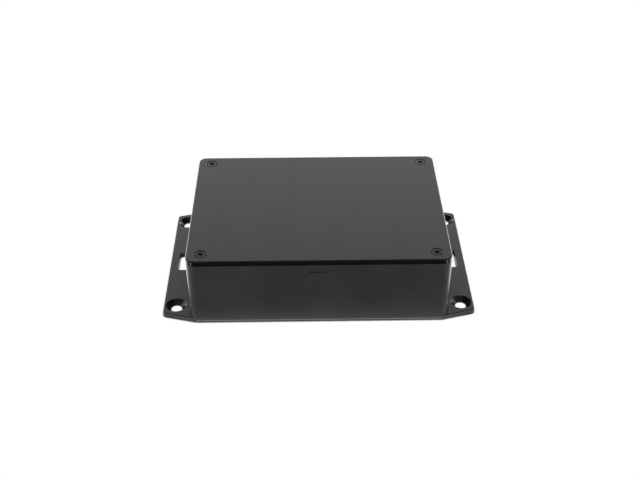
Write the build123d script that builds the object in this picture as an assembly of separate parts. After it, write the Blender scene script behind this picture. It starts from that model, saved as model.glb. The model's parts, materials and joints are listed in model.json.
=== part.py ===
from build123d import *

import math
import os

# Trailer brake controller in a flanged plastic box with a screwed lid.
# Millimetres. The origin is the centre of the underside, between the four mounting holes.
# X runs along the box, from flange to flange. Y runs from the front wall to the back wall, where
# the cable gland is. Z is up, out of the lid.

# ---------------------------------------------------------------- driving dimensions
# Enclosure
case_length = 121.0
case_width = 94.0
case_height = 35.0
lid_thickness = 2.6
wall = 3.0
floor_thickness = 2.5
corner_radius = 4.0
wall_draft = 0.6                # how far in each wall leans on its way down
underside_fillet = 2.0
lid_edge_fillet = 0.6
lid_seam_fillet = 0.25

# Mounting flanges
flange_reach = 12.8             # past the end walls
flange_thickness = 2.5
flange_end_inset = 5.3          # each outer corner stands this far in from the front or back wall
flange_corner_radius = 2.0
flange_edge_fillet = 0.3
mount_hole_radius = 2.65
mount_sink_radius = 5.0
mount_sink_depth = 2.0
mount_hole_inset = 5.9          # from the flange's outer edge
mount_hole_spacing_y = 71.6
slot_width = 5.0
slot_length = 14.8
slot_corner_radius = 1.2
slot_inset = 3.9                # flange's outer edge to the slot

# Lid screws, their bosses and threaded inserts
lid_screw_inset = (6.8, 6.2)    # from the end wall and from the side wall
boss_radius = 4.2
boss_hole_depth = 12.0
insert_radius = 2.3
insert_length = 6.0
screw_shank_radius = 1.5
screw_head_radius = 2.75
screw_length = 12.0
screw_sunk = 0.1                # head below the lid's surface
screw_turns = (20.0, 63.0, 35.0, 48.0)   # degrees that each cross recess is turned

# Gasket and the lid's locating ribs
gasket_width = 1.4
gasket_depth = 1.2
rib_height = 1.5
rib_thickness = 1.2

# Pry recess in the front wall
pry_width = 9.6
pry_height = 2.0
pry_depth = 0.8
pry_drop = 2.1                  # below the seam
pry_end_slant = 0.4

# Ribs inside the front and back walls
guide_rib_width = 1.2
guide_rib_depth = 1.4
guide_rib_pitch = 14.0
guide_rib_pairs = 3             # on each side of the middle

# Circuit board and standoffs
board_end_gap = 4.5             # inner face of each end wall to the board
board_thickness = 1.6
board_front_gap = 4.0           # inner face of the front wall to the board
board_back_gap = 11.0           # room for the gland's nut behind the board
board_corner_radius = 1.0
standoff_height = 4.0
standoff_radius = 3.0
standoff_inset = (7.0, 8.0)     # from the board's ends and from its front and back edges
board_screw_radius = 1.25
board_screw_length = 6.0

# Terminal block
terminal_poles = 4
terminal_pitch = 6.5
terminal_depth = 12.0
terminal_height = 14.0
terminal_wall = 1.0
terminal_screw_radius = 1.9
terminal_cage = 4.6

# Fuse
fuse_width = 10.9
fuse_thickness = 3.8
fuse_body_height = 8.8
fuse_blade_width = 2.8
fuse_blade_thickness = 0.8
fuse_blade_length = 6.4
fuse_holder_height = 7.6

# Power stage
heat_sink_length = 46.0
heat_sink_height = 20.0
heat_sink_plate = 3.0
heat_sink_depth = 13.0
heat_sink_fins = 9
fin_thickness = 1.4
pad_thickness = 0.3
package_width = 10.2
package_height = 9.2
package_depth = 4.5
tab_thickness = 1.3
tab_height = 6.4
lead_height = 3.5
lead_pitch = 2.54
power_screw_radius = 1.5
package_spacing = 14.0
capacitor_radius = 6.25
capacitor_height = 20.0
sleeve_thickness = 0.25
choke_outer_radius = 10.0
choke_inner_radius = 5.5
choke_height = 8.0
choke_wire = 1.2
choke_turns = 18

# Other parts on the board: length, width, height
relay_size = (19.0, 15.5, 15.0)
chip_size = (10.0, 10.0, 1.4)
chip_leads_per_side = 12
radio_size = (20.0, 16.0, 1.0)
shield_size = (15.0, 13.0, 2.2)
trimmer_size = (7.0, 7.0, 5.0)
trimmer_rotor_radius = 2.2
button_size = (6.0, 6.0, 3.6)
button_plunger_radius = 1.7
button_travel = 0.5

# Cable gland
gland_axis_z = 14.5
gland_flats = 19.0
gland_thread_radius = 7.5
gland_collar_radius = 7.6
gland_bore_radius = 4.6
gland_seal_radius = 4.0
gland_flange_length = 5.0
gland_collar_length = 7.0
gland_inner_length = 8.0        # inside the wall
gland_nut_length = 4.5
gland_washer_thickness = 1.0
gland_cap_length = 12.2

# Clearances
running_clearance = 0.05
seat_gap = 0.2                  # screw head to its countersink, measured outwards
rib_clearance = 0.25            # lid rib to the inside of the wall
boss_clearance = 1.0
hole_clearance = 0.2

# ---------------------------------------------------------------- worked-out places
rim_z = case_height - lid_thickness
inner_length = case_length - 2 * wall
inner_width = case_width - 2 * wall
flange_outer_x = case_length / 2 + flange_reach
mount_hole_x = flange_outer_x - mount_hole_inset
slot_x = flange_outer_x - slot_inset - slot_width / 2
lid_screw_x = case_length / 2 - lid_screw_inset[0]
lid_screw_y = case_width / 2 - lid_screw_inset[1]
board_bottom = floor_thickness + standoff_height
board_top = board_bottom + board_thickness
board_length = inner_length - 2 * board_end_gap
board_width = inner_width - board_front_gap - board_back_gap
board_y = (board_front_gap - board_back_gap) / 2
standoff_x = board_length / 2 - standoff_inset[0]
standoff_y = board_width / 2 - standoff_inset[1]
back_wall_y = case_width / 2
screw_head_top = case_height - screw_sunk
cone_depth = screw_head_radius - screw_shank_radius      # a 90 degree countersunk head

# Places on the board, as X, Y inwards from the edge or corner that each part keeps to:
# left or right, then front or back, and middle for neither.
terminal_place = ("middle", 0.0, "back", 8.0)
heat_sink_place = ("right", 17.0, "middle", 0.5)
capacitor_places = (("right", 31.0, "front", 12.0), ("right", 31.0, "front", 28.0))
choke_place = ("middle", -2.0, "middle", -1.5)
relay_place = ("left", 17.0, "back", 19.0)
fuse_place = ("left", 17.0, "middle", -4.5)
chip_place = ("middle", -4.0, "front", 12.0)
crystal_place = ("middle", -16.0, "front", 12.0)
radio_place = ("left", 22.0, "front", 13.0)
trimmer_place = ("left", 32.5, "middle", -4.5)
button_place = ("left", 32.5, "middle", 5.0)
regulator_place = ("left", 34.0, "back", 21.0)
sensor_place = ("middle", 8.0, "front", 7.0)
shunt_place = ("right", 34.5, "middle", 9.5)
light_place = ("right", 21.0, "front", 5.0)
header_place = ("left", 26.0, "back", 5.0)
resistor_rows = ((("middle", 6.0, "front", 14.5), 3.0, 3), (("right", 24.0, "middle", 6.0), 3.4, 4),
                 (("left", 5.5, "middle", -12.0), 3.2, 4))
chip_capacitor_rows = ((("middle", 12.5, "front", 5.5), 3.2, 3), (("middle", -13.0, "middle", 13.5), 2.8, 3),
                       (("middle", 8.5, "middle", 14.5), 2.6, 3))


# ---------------------------------------------------------------- helpers
def block(length, width, height, x=0.0, y=0.0, z=0.0):
    """A box centred on x, y that stands on z."""
    return Pos(x, y, z + height / 2) * Box(length, width, height)


def rounded_block(length, width, height, radius, x=0.0, y=0.0, z=0.0):
    """A box with rounded upright corners, centred on x, y, standing on z."""
    return Pos(x, y, z) * extrude(RectangleRounded(length, width, radius), height)


def rod(radius, height, x=0.0, y=0.0, z=0.0):
    """An upright cylinder that stands on z."""
    return Pos(x, y, z + height / 2) * Cylinder(radius, height)


def cone(bottom_radius, top_radius, height, x=0.0, y=0.0, z=0.0):
    """An upright cone that stands on z."""
    return Pos(x, y, z + height / 2) * Cone(bottom_radius, top_radius, height)


def top_edges(part):
    """The edges of the highest level face."""
    return part.faces().sort_by(Axis.Z)[-1].edges()


def bottom_edges(part):
    """The edges of the lowest level face."""
    return part.faces().sort_by(Axis.Z)[0].edges()


def corners(x, y):
    """The four points at +-x, +-y: front left, front right, back left, back right."""
    return [(-x, -y), (x, -y), (-x, y), (x, y)]


def inwards(edge, distance, low, size):
    """A coordinate that far inwards from the low or the high edge, or from the middle."""
    if edge == low:
        return distance - size / 2
    return distance if edge == "middle" else size / 2 - distance


def on_board(place):
    """The X, Y of a place on the board."""
    x = inwards(place[0], place[1], "left", board_length)
    return x, inwards(place[2], place[3], "front", board_width) + board_y


def separate(parts):
    """Several solids kept apart in one node."""
    return Compound([solid for part in parts for solid in part.solids()])


# ---------------------------------------------------------------- enclosure body
def flange_outline():
    """Half of the flange plate's outline: its sloping edges are tangent to the case's corners."""
    centre_x = case_length / 2 - corner_radius
    centre_y = case_width / 2 - corner_radius
    foot_radius = corner_radius - wall_draft
    end_y = case_width / 2 - flange_end_inset
    run = flange_outer_x - centre_x
    rise = end_y - centre_y
    turn = math.atan2(rise, run) + math.acos(foot_radius / math.hypot(run, rise))
    touch_x = centre_x + foot_radius * math.cos(turn)
    touch_y = centre_y + foot_radius * math.sin(turn)
    outline = Polygon(
        (centre_x, -centre_y), (touch_x, -touch_y), (flange_outer_x, -end_y),
        (flange_outer_x, end_y), (touch_x, touch_y), (centre_x, centre_y), align=None,
    )
    outer = [v for v in outline.vertices() if v.X > flange_outer_x - 1e-6]
    return fillet(outer, flange_corner_radius)


def mount_hole(x, y):
    """A countersunk hole through the flange, to be cut away."""
    bore = rod(mount_hole_radius, flange_thickness, x, y)
    return bore + cone(mount_hole_radius, mount_sink_radius, mount_sink_depth, x, y,
                       flange_thickness - mount_sink_depth)


def flange():
    """The plain flange plate on the +X end, its outer edges rounded."""
    plate = extrude(flange_outline(), flange_thickness)
    rims = top_edges(plate) + bottom_edges(plate)
    outer = [e for e in rims if e.center().X > case_length / 2 - corner_radius + 0.1]
    return fillet(outer, flange_edge_fillet)


def flange_openings():
    """The four mounting holes and the two slots, to be cut away."""
    holes = [mount_hole(x, y) for x, y in corners(mount_hole_x, mount_hole_spacing_y / 2)]
    for x in (-slot_x, slot_x):
        holes.append(rounded_block(slot_width, slot_length, flange_thickness, slot_corner_radius, x))
    return holes


def groove(depth, width):
    """The ring that the gasket fills, let into the middle of the rim."""
    middle = wall / 2
    outside = middle - width / 2
    inside = middle + width / 2
    ring = RectangleRounded(case_length - 2 * outside, case_width - 2 * outside, corner_radius - outside)
    ring -= RectangleRounded(case_length - 2 * inside, case_width - 2 * inside, corner_radius - inside)
    return Pos(0, 0, rim_z - depth) * extrude(ring, depth)


def pry_recess():
    """A shallow pocket with slanting ends, for prising the lid off."""
    half = pry_width / 2
    outline = Polygon(
        (-half, 0), (half, 0), (half - pry_end_slant, -pry_height), (pry_end_slant - half, -pry_height),
        align=None,
    )
    plane = Plane(origin=(0, -case_width / 2, rim_z - pry_drop), x_dir=(1, 0, 0), z_dir=(0, -1, 0))
    return extrude(plane * outline, amount=pry_depth, both=True)


def guide_ribs():
    """Pairs of upright ribs inside the front and back walls."""
    height = rim_z - floor_thickness - rib_height - boss_clearance
    ribs = []
    for step in range(1, guide_rib_pairs + 1):
        for x in (-step * guide_rib_pitch, step * guide_rib_pitch):
            for wall_side in (-1, 1):
                y = wall_side * (inner_width - guide_rib_depth) / 2
                for offset in (-guide_rib_width, guide_rib_width):
                    ribs.append(block(guide_rib_width, guide_rib_depth, height, x + offset, y, floor_thickness))
    return ribs


def outside():
    """The outside of the box: its walls lean in on their way down to a rounded edge."""
    foot = RectangleRounded(case_length - 2 * wall_draft, case_width - 2 * wall_draft, corner_radius - wall_draft)
    lean = math.degrees(math.atan2(wall_draft, rim_z))
    solid = extrude(foot, rim_z, taper=-lean)
    return fillet(bottom_edges(solid), underside_fillet)


def enclosure_body():
    """The moulded box: walls, floor, flanges, bosses, standoffs and guide ribs in one piece."""
    right = flange()
    body = outside() + right + mirror(right, about=Plane.YZ) + gland_landing()
    for opening in flange_openings():
        body -= opening
    inner_radius = max(corner_radius - wall, 0.8)
    body -= rounded_block(inner_length, inner_width, rim_z, inner_radius, z=floor_thickness)
    for x, y in corners(lid_screw_x, lid_screw_y):
        body += rod(boss_radius, rim_z - floor_thickness, x, y, floor_thickness)
    for x, y in corners(standoff_x, standoff_y):
        body += rod(standoff_radius, standoff_height, x, y + board_y, floor_thickness)
        body -= rod(board_screw_radius, standoff_height, x, y + board_y, floor_thickness)
    for rib in guide_ribs():
        body += rib
    for x, y in corners(lid_screw_x, lid_screw_y):
        body -= rod(insert_radius, insert_length, x, y, rim_z - insert_length)
        body -= rod(screw_shank_radius + hole_clearance, boss_hole_depth, x, y, rim_z - boss_hole_depth)
    body -= groove(gasket_depth, gasket_width)
    body -= pry_recess()
    return body - gland_hole()


# ---------------------------------------------------------------- lid, gasket, screws, inserts
def lid_ribs():
    """The ribs under the lid that drop inside the walls, between the bosses."""
    long_rib = 2 * (lid_screw_x - boss_radius - boss_clearance)
    short_rib = 2 * (lid_screw_y - boss_radius - boss_clearance)
    x = inner_length / 2 - rib_clearance - rib_thickness / 2
    y = inner_width / 2 - rib_clearance - rib_thickness / 2
    z = rim_z - rib_height
    ribs = []
    for side in (-1, 1):
        ribs.append(block(long_rib, rib_thickness, rib_height, 0, side * y, z))
        ribs.append(block(rib_thickness, short_rib, rib_height, side * x, 0, z))
    return ribs


def lid():
    """The flat lid, with countersunk holes for its four screws."""
    plate = rounded_block(case_length, case_width, lid_thickness, corner_radius, z=rim_z)
    plate = fillet(top_edges(plate), lid_edge_fillet)
    plate = fillet(bottom_edges(plate), lid_seam_fillet)
    for rib in lid_ribs():
        plate += rib
    hole_radius = screw_shank_radius + hole_clearance
    sink_radius = screw_head_radius + seat_gap
    sink_depth = sink_radius - hole_radius
    for x, y in corners(lid_screw_x, lid_screw_y):
        plate -= rod(hole_radius, lid_thickness, x, y, rim_z)
        plate -= cone(hole_radius, sink_radius, sink_depth, x, y, screw_head_top - sink_depth)
        plate -= rod(sink_radius, screw_sunk, x, y, screw_head_top)
    return plate


def cross_recess(radius, depth, turn):
    """A cross recess that narrows as it goes down, with its mouth at z = 0."""
    arms = Box(2 * radius, 0.34 * radius, 2 * depth) + Box(0.34 * radius, 2 * radius, 2 * depth)
    taper = cone(0.3 * radius, radius, depth, z=-depth)
    return Rot(0, 0, turn) * (arms & taper)


def lid_screw(x, y, turn):
    """A countersunk cross-recess screw, its head's face just below the lid's."""
    head = cone(screw_shank_radius, screw_head_radius, cone_depth, z=-cone_depth)
    shank = rod(screw_shank_radius, screw_length - cone_depth, z=-screw_length)
    shank = chamfer(bottom_edges(shank), 0.4)
    screw = head + shank - cross_recess(0.62 * screw_head_radius, 1.4, turn)
    return Pos(x, y, screw_head_top) * screw


def threaded_insert(x, y):
    """A brass insert, flush with the rim."""
    sleeve = rod(insert_radius, insert_length, x, y, rim_z - insert_length)
    return sleeve - rod(screw_shank_radius + running_clearance, insert_length, x, y, rim_z - insert_length)


# ---------------------------------------------------------------- circuit board
def circuit_board():
    """The board, notched around the front bosses and drilled for its screws."""
    board = rounded_block(board_length, board_width, board_thickness, board_corner_radius, 0, board_y, board_bottom)
    for x, y in corners(lid_screw_x, lid_screw_y):
        board -= rod(boss_radius + boss_clearance, board_thickness, x, y, board_bottom)
    for x, y in corners(standoff_x, standoff_y):
        board -= rod(board_screw_radius + hole_clearance, board_thickness, x, y + board_y, board_bottom)
    return board


def board_screw(x, y):
    """A pan-head screw that holds the board down on its standoff."""
    head = rod(2.2 * board_screw_radius, 1.6, z=board_top)
    head = fillet(top_edges(head), 0.5)
    reach = board_thickness + standoff_height
    shank = rod(board_screw_radius, min(board_screw_length, reach), z=board_top - min(board_screw_length, reach))
    slot = Pos(0, 0, board_top + 1.6) * cross_recess(0.9 * board_screw_radius, 1.0, 15)
    return Pos(x, y, 0) * (head + shank - slot)


# ---------------------------------------------------------------- terminal block
def terminal_xs():
    """The X of each pole of the terminal block."""
    first = on_board(terminal_place)[0] - terminal_pitch * (terminal_poles - 1) / 2
    return [first + terminal_pitch * n for n in range(terminal_poles)]


def cage_top():
    return board_top + terminal_wall + terminal_cage


def terminal_housing():
    """A stepped block with a wire mouth and a screw shaft for each pole."""
    x, y = on_board(terminal_place)
    length = terminal_poles * terminal_pitch + terminal_wall
    step = terminal_height / 3
    housing = block(length, terminal_depth, terminal_height, x, y, board_top)
    housing -= block(length, terminal_depth / 4, step, x, y - terminal_depth * 3 / 8, board_top + terminal_height - step)
    mouth = terminal_cage + 2 * running_clearance
    for pole_x in terminal_xs():
        depth = terminal_depth - terminal_wall
        housing -= block(mouth, depth, mouth, pole_x, y + terminal_wall / 2, board_top + terminal_wall)
        shaft = terminal_screw_radius + running_clearance
        housing -= rod(shaft, terminal_height, pole_x, y, cage_top())
    return housing


def terminal_cage_clamp(pole_x):
    """A square metal cage that the clamp screw draws onto the wire."""
    y = on_board(terminal_place)[1]
    z = board_top + terminal_wall
    cage = block(terminal_cage, terminal_depth / 2, terminal_cage, pole_x, y, z)
    return cage - block(terminal_cage - 1.6, terminal_depth, terminal_cage - 1.6, pole_x, y, z + 0.8)


def terminal_screw(pole_x):
    """A slotted clamp screw in its shaft."""
    y = on_board(terminal_place)[1]
    bottom = cage_top() + 0.3
    height = board_top + terminal_height - 1.0 - bottom
    screw = rod(terminal_screw_radius, height, pole_x, y, bottom)
    return screw - block(2 * terminal_screw_radius + 1, 0.7, 1.0, pole_x, y, bottom + height - 1.0)


# ---------------------------------------------------------------- fuse
def blade_places():
    x, y = on_board(fuse_place)
    shift = (fuse_width - fuse_blade_width) / 2 - 0.3
    return [(x - shift, y), (x + shift, y)]


def fuse_holder():
    """The block that the fuse plugs into, with a pocket for each pair of clips."""
    x, y = on_board(fuse_place)
    holder = rounded_block(fuse_width + 4, fuse_thickness + 4, fuse_holder_height, 0.8, x, y, board_top)
    for blade_x, blade_y in blade_places():
        holder -= block(fuse_blade_width + 0.8, fuse_blade_thickness + 1.6, fuse_holder_height,
                        blade_x, blade_y, board_top + 0.6)
    return holder


def fuse_clips():
    """Two spring leaves on each side of each blade."""
    leaf = 0.5
    clips = []
    for blade_x, blade_y in blade_places():
        offset = fuse_blade_thickness / 2 + running_clearance + leaf / 2
        for side in (-1, 1):
            clips.append(block(fuse_blade_width, leaf, fuse_holder_height - 1.6,
                               blade_x, blade_y + side * offset, board_top + 0.6))
    return separate(clips)


def fuse_seat():
    return board_top + fuse_holder_height


def fuse_body():
    """The coloured plastic body of the fuse, with its two waist notches."""
    x, y = on_board(fuse_place)
    body = block(fuse_width, fuse_thickness, fuse_body_height, x, y, fuse_seat())
    body = fillet(body.edges().filter_by(Axis.Z), 0.6)
    body = chamfer(top_edges(body), 0.4)
    for side in (-1, 1):
        body -= block(fuse_width - 3, 0.5, fuse_body_height - 4.5, x,
                      y + side * fuse_thickness / 2, fuse_seat() + 1.2)
    return body


def fuse_blades():
    """The two flat blades under the fuse body."""
    blades = []
    for blade_x, blade_y in blade_places():
        blade = block(fuse_blade_width, fuse_blade_thickness, fuse_blade_length,
                      blade_x, blade_y, fuse_seat() - fuse_blade_length)
        blades.append(chamfer(bottom_edges(blade), 0.2))
    return separate(blades)


# ---------------------------------------------------------------- power stage
def package_ys():
    """The Y of each power package along the heat sink."""
    middle = on_board(heat_sink_place)[1]
    return [middle + package_spacing * n for n in (-1, 0, 1)]


def tab_hole_z():
    return board_top + lead_height + package_height + tab_height / 2


def across(radius, length, x, y, z):
    """A cylinder along X that starts at x."""
    return Pos(x + length / 2, y, z) * Rot(0, 90, 0) * Cylinder(radius, length)


def heat_sink():
    """An extruded aluminium plate with upright fins, tapped for the package screws."""
    x, y = on_board(heat_sink_place)
    sink = block(heat_sink_plate, heat_sink_length, heat_sink_height, x + heat_sink_plate / 2, y, board_top)
    fin_reach = heat_sink_depth - heat_sink_plate
    pitch = (heat_sink_length - fin_thickness) / (heat_sink_fins - 1)
    first = y - heat_sink_length / 2 + fin_thickness / 2
    for n in range(heat_sink_fins):
        sink += block(fin_reach, fin_thickness, heat_sink_height,
                      x + heat_sink_plate + fin_reach / 2, first + pitch * n, board_top)
    for package_y in package_ys():
        sink -= across(power_screw_radius, heat_sink_plate, x, package_y, tab_hole_z())
    return sink


def pad_face_x():
    return on_board(heat_sink_place)[0] - pad_thickness


def insulating_pad(y):
    """A thin pad between a package's tab and the heat sink."""
    height = package_height + tab_height + 1
    pad = block(pad_thickness, package_width + 1, height, pad_face_x() + pad_thickness / 2, y,
                board_top + lead_height - 0.5)
    return pad - across(power_screw_radius, pad_thickness, pad_face_x(), y, tab_hole_z())


def package_tab(y, leads):
    """The metal tab of a package, with its leads down to the board."""
    x = pad_face_x() - tab_thickness
    z = board_top + lead_height
    tab = block(tab_thickness, package_width, package_height + tab_height, x + tab_thickness / 2, y, z)
    tab -= across(power_screw_radius, tab_thickness, x, y, tab_hole_z())
    solids = [tab]
    for n in leads:
        solids.append(block(0.5, 0.8, lead_height, x - 1.2, y + n * lead_pitch, board_top))
    return solids


def package_body(y):
    """The moulded body in front of the tab."""
    depth = package_depth - tab_thickness
    x = pad_face_x() - tab_thickness - depth / 2
    body = block(depth, package_width, package_height, x, y, board_top + lead_height)
    front = [e for e in body.edges() if abs(e.center().X - (x - depth / 2)) < 1e-6]
    return chamfer(front, 0.4)


def package_screw(y):
    """A pan-head screw through the tab and the pad into the heat sink."""
    x = pad_face_x() - tab_thickness
    reach = tab_thickness + pad_thickness + heat_sink_plate
    head = across(2.7, 1.7, x - 1.7, y, tab_hole_z())
    shank = across(power_screw_radius, reach, x, y, tab_hole_z())
    turn = Pos(x - 1.7, y, tab_hole_z()) * Rot(0, -90, 0)
    return head + shank - turn * cross_recess(1.5, 1.1, 30)


def capacitor_can(x, y):
    """An aluminium can with a crimped waist near its foot and a rounded top edge."""
    can = rod(capacitor_radius - sleeve_thickness, capacitor_height, x, y, board_top)
    can = fillet(top_edges(can), 0.7)
    waist = Pos(x, y, board_top + 2.2) * Torus(capacitor_radius + 0.35, 0.9)
    return can - waist


def capacitor_sleeve(x, y):
    """The shrunk plastic sleeve around a can, with a lip over its top edge."""
    sleeve = rod(capacitor_radius, capacitor_height - 3.5 - 0.8, x, y, board_top + 3.5)
    return sleeve - rod(capacitor_radius - sleeve_thickness, capacitor_height, x, y, board_top + 3.5)


def choke_core():
    """The ferrite ring, lying flat."""
    x, y = on_board(choke_place)
    core = rod(choke_outer_radius, choke_height, x, y, board_top + choke_wire)
    core -= rod(choke_inner_radius, choke_height, x, y, board_top + choke_wire)
    return fillet(core.edges().filter_by(GeomType.CIRCLE), 0.8)


def choke_winding():
    """Turns of thick wire around the ring, each a flat square loop with a gap of its own."""
    x, y = on_board(choke_place)
    radial = choke_outer_radius - choke_inner_radius
    middle = (choke_outer_radius + choke_inner_radius) / 2
    loop = Box(radial + 2 * choke_wire, choke_wire, choke_height + 2 * choke_wire)
    loop = fillet(loop.edges().filter_by(Axis.Y), choke_wire)
    loop -= Box(radial + 2 * running_clearance, choke_wire, choke_height)
    centre_z = board_top + choke_wire + choke_height / 2
    turns = []
    for n in range(choke_turns):
        turn = 25 + 310 * n / (choke_turns - 1)
        turns.append(Pos(x, y, centre_z) * Rot(0, 0, turn) * Pos(middle, 0, 0) * loop)
    return separate(turns)


def shunt_resistor():
    """A bridge of resistance strip that stands on its two feet."""
    x, y = on_board(shunt_place)
    bridge = block(12, 5, 3.2, x, y, board_top) - block(7.6, 5, 2.4, x, y, board_top)
    top = [e for e in top_edges(bridge) if abs(abs(e.center().X - x) - 6) < 1e-6]
    return fillet(top, 1.0)


# ---------------------------------------------------------------- small parts on the board
def relay_base():
    """The relay's black base plate."""
    x, y = on_board(relay_place)
    return block(relay_size[0], relay_size[1], 1.5, x, y, board_top)


def relay_cover():
    """The relay's sealed cover."""
    x, y = on_board(relay_place)
    cover = block(relay_size[0] - 0.6, relay_size[1] - 0.6, relay_size[2] - 1.5, x, y, board_top + 1.5)
    cover = fillet(cover.edges().filter_by(Axis.Z), 1.0)
    return fillet(top_edges(cover), 0.6)


def microcontroller():
    """A square flat package with a dimple at its first lead."""
    x, y = on_board(chip_place)
    body = block(chip_size[0], chip_size[1], chip_size[2], x, y, board_top + 0.1)
    body = chamfer(top_edges(body), 0.3)
    corner = chip_size[0] / 2 - 1.6
    return body - rod(0.6, 0.2, x - corner, y + corner, board_top + 0.1 + chip_size[2] - 0.15)


def microcontroller_leads():
    """Flat leads on all four sides."""
    x, y = on_board(chip_place)
    reach = 1.0
    pitch = 0.65
    leads = []
    for side in range(4):
        for n in range(chip_leads_per_side):
            along = pitch * (n - (chip_leads_per_side - 1) / 2)
            lead = block(reach, 0.3, 0.4, chip_size[0] / 2 + reach / 2, along, board_top)
            leads.append(Pos(x, y, 0) * Rot(0, 0, 90 * side) * lead)
    return separate(leads)


def radio_board():
    """The radio module's own small board."""
    x, y = on_board(radio_place)
    return block(*radio_size, x, y, board_top)


def radio_shield():
    """The metal can over the radio."""
    x, y = on_board(radio_place)
    shift = (radio_size[0] - shield_size[0]) / 2 - 0.8
    can = rounded_block(*shield_size, 0.8, x + shift, y, board_top + radio_size[2])
    return fillet(top_edges(can), 0.3)


def crystal():
    """A low metal crystal can with round ends."""
    x, y = on_board(crystal_place)
    can = rounded_block(4.6, 10.2, 3.4, 2.25, x, y, board_top)
    return fillet(top_edges(can), 0.4)


def voltage_regulator():
    """A flat power package and the end of its tab."""
    x, y = on_board(regulator_place)
    body = block(6.5, 6.1, 2.3, x, y, board_top)
    body = chamfer(top_edges(body), 0.3)
    return body + block(5.2, 1.4, 0.6, x, y + 3.75, board_top)


def motion_sensor():
    """The small chip that feels the trailer slow down."""
    x, y = on_board(sensor_place)
    return chamfer(top_edges(block(4, 4, 1.1, x, y, board_top)), 0.15)


def status_light():
    """A domed light-emitting diode."""
    x, y = on_board(light_place)
    return rod(1.9, 1.0, x, y, board_top) + rod(1.5, 2.6, x, y, board_top + 1) \
        + Pos(x, y, board_top + 3.6) * Sphere(1.5)


def chip_rows(rows, length, width, height):
    """Rows of chip parts: each row is the first one's place, the pitch towards the back and the number."""
    chips = []
    for place, pitch, count in rows:
        x, y = on_board(place)
        for n in range(count):
            chips.append(block(length, width, height, x, y + pitch * n, board_top))
    return separate(chips)


def trimmer_housing():
    """The gain trimmer's square body, with the well that its rotor turns in."""
    x, y = on_board(trimmer_place)
    body = block(*trimmer_size, x, y, board_top)
    body = chamfer(body.edges().filter_by(Axis.Z), 0.5)
    depth = 2.0
    return body - rod(trimmer_rotor_radius + running_clearance, depth, x, y, board_top + trimmer_size[2] - depth)


def trimmer_rotor():
    """The slotted rotor, standing just proud of its housing."""
    x, y = on_board(trimmer_place)
    bottom = board_top + trimmer_size[2] - 2.0 + running_clearance
    rotor = rod(trimmer_rotor_radius, 2.3, x, y, bottom)
    return rotor - block(2 * trimmer_rotor_radius + 1, 0.7, 0.9, x, y, bottom + 2.3 - 0.9)


def button_well_depth():
    return button_travel + 1.2


def button_housing():
    """The test button's square body, with a well for its plunger."""
    x, y = on_board(button_place)
    body = block(*button_size, x, y, board_top)
    body = chamfer(body.edges().filter_by(Axis.Z), 0.4)
    well = rod(button_plunger_radius + running_clearance, button_well_depth(), x, y,
               board_top + button_size[2] - button_well_depth())
    return body - well


def button_plunger():
    """The plunger, held up by its spring until it is pressed."""
    x, y = on_board(button_place)
    bottom = board_top + button_size[2] - button_well_depth() + button_travel + 2 * running_clearance
    plunger = rod(button_plunger_radius, 2.6, x, y, bottom)
    return fillet(top_edges(plunger), 0.3)


def header_xs():
    x = on_board(header_place)[0]
    return [x + 2.54 * n for n in (-1, 0, 1)]


def header_ys():
    y = on_board(header_place)[1]
    return [y - 1.27, y + 1.27]


def header_housing():
    """The plastic strip that holds the pins."""
    x, y = on_board(header_place)
    strip = block(7.6, 5.0, 2.5, x, y, board_top)
    for pin_x in header_xs():
        for pin_y in header_ys():
            strip -= block(0.64, 0.64, 2.5, pin_x, pin_y, board_top)
    return strip


def header_pins():
    pins = [block(0.64, 0.64, 8.5, x, y, board_top) for x in header_xs() for y in header_ys()]
    return separate(chamfer(top_edges(pin), 0.15) for pin in pins)


# ---------------------------------------------------------------- cable gland, along +Y
def along_y(part, start):
    """Lays a part that was built up from z = 0 along +Y, from start past the outside of the back wall."""
    return Pos(0, back_wall_y + start, gland_axis_z) * Rot(-90, 0, 0) * part


def hexagon(flats, length):
    return extrude(RegularPolygon(flats / 2, 6, major_radius=False), length)


def gland_landing():
    """A flat round pad on the leaning back wall, for the gland's washer."""
    return along_y(rod(gland_flats / 2 + 1.2, wall), -wall)


def gland_hole():
    return along_y(rod(gland_thread_radius + hole_clearance, wall + 2), -wall - 1)


def gland_washer():
    """The rubber washer outside the wall."""
    ring = rod(gland_flats / 2 + 0.6, gland_washer_thickness)
    return along_y(ring - rod(gland_collar_radius, gland_washer_thickness), 0)


def gland_body():
    """The threaded body through the wall, with its hexagon and the collar for the cap nut."""
    through = wall + gland_inner_length + gland_washer_thickness
    body = rod(gland_thread_radius, through)
    body += Pos(0, 0, through) * hexagon(gland_flats, gland_flange_length)
    collar_z = through + gland_flange_length
    body += rod(gland_collar_radius, gland_collar_length, z=collar_z)
    body -= rod(gland_bore_radius, collar_z + gland_collar_length)
    body -= rod(seal_outer_radius(), gland_collar_length - 1, z=collar_z + 1)
    return along_y(body, gland_washer_thickness - through)


def seal_outer_radius():
    return gland_collar_radius - 1.4


def collar_end():
    """How far the collar's end stands out from the wall."""
    return gland_washer_thickness + gland_flange_length + gland_collar_length


def gland_seal():
    """The rubber sleeve that the cap nut squeezes onto the cable."""
    length = gland_collar_length
    seal = rod(seal_outer_radius(), length) - rod(gland_seal_radius, length)
    return along_y(seal, collar_end() + 1 - length)


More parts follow.
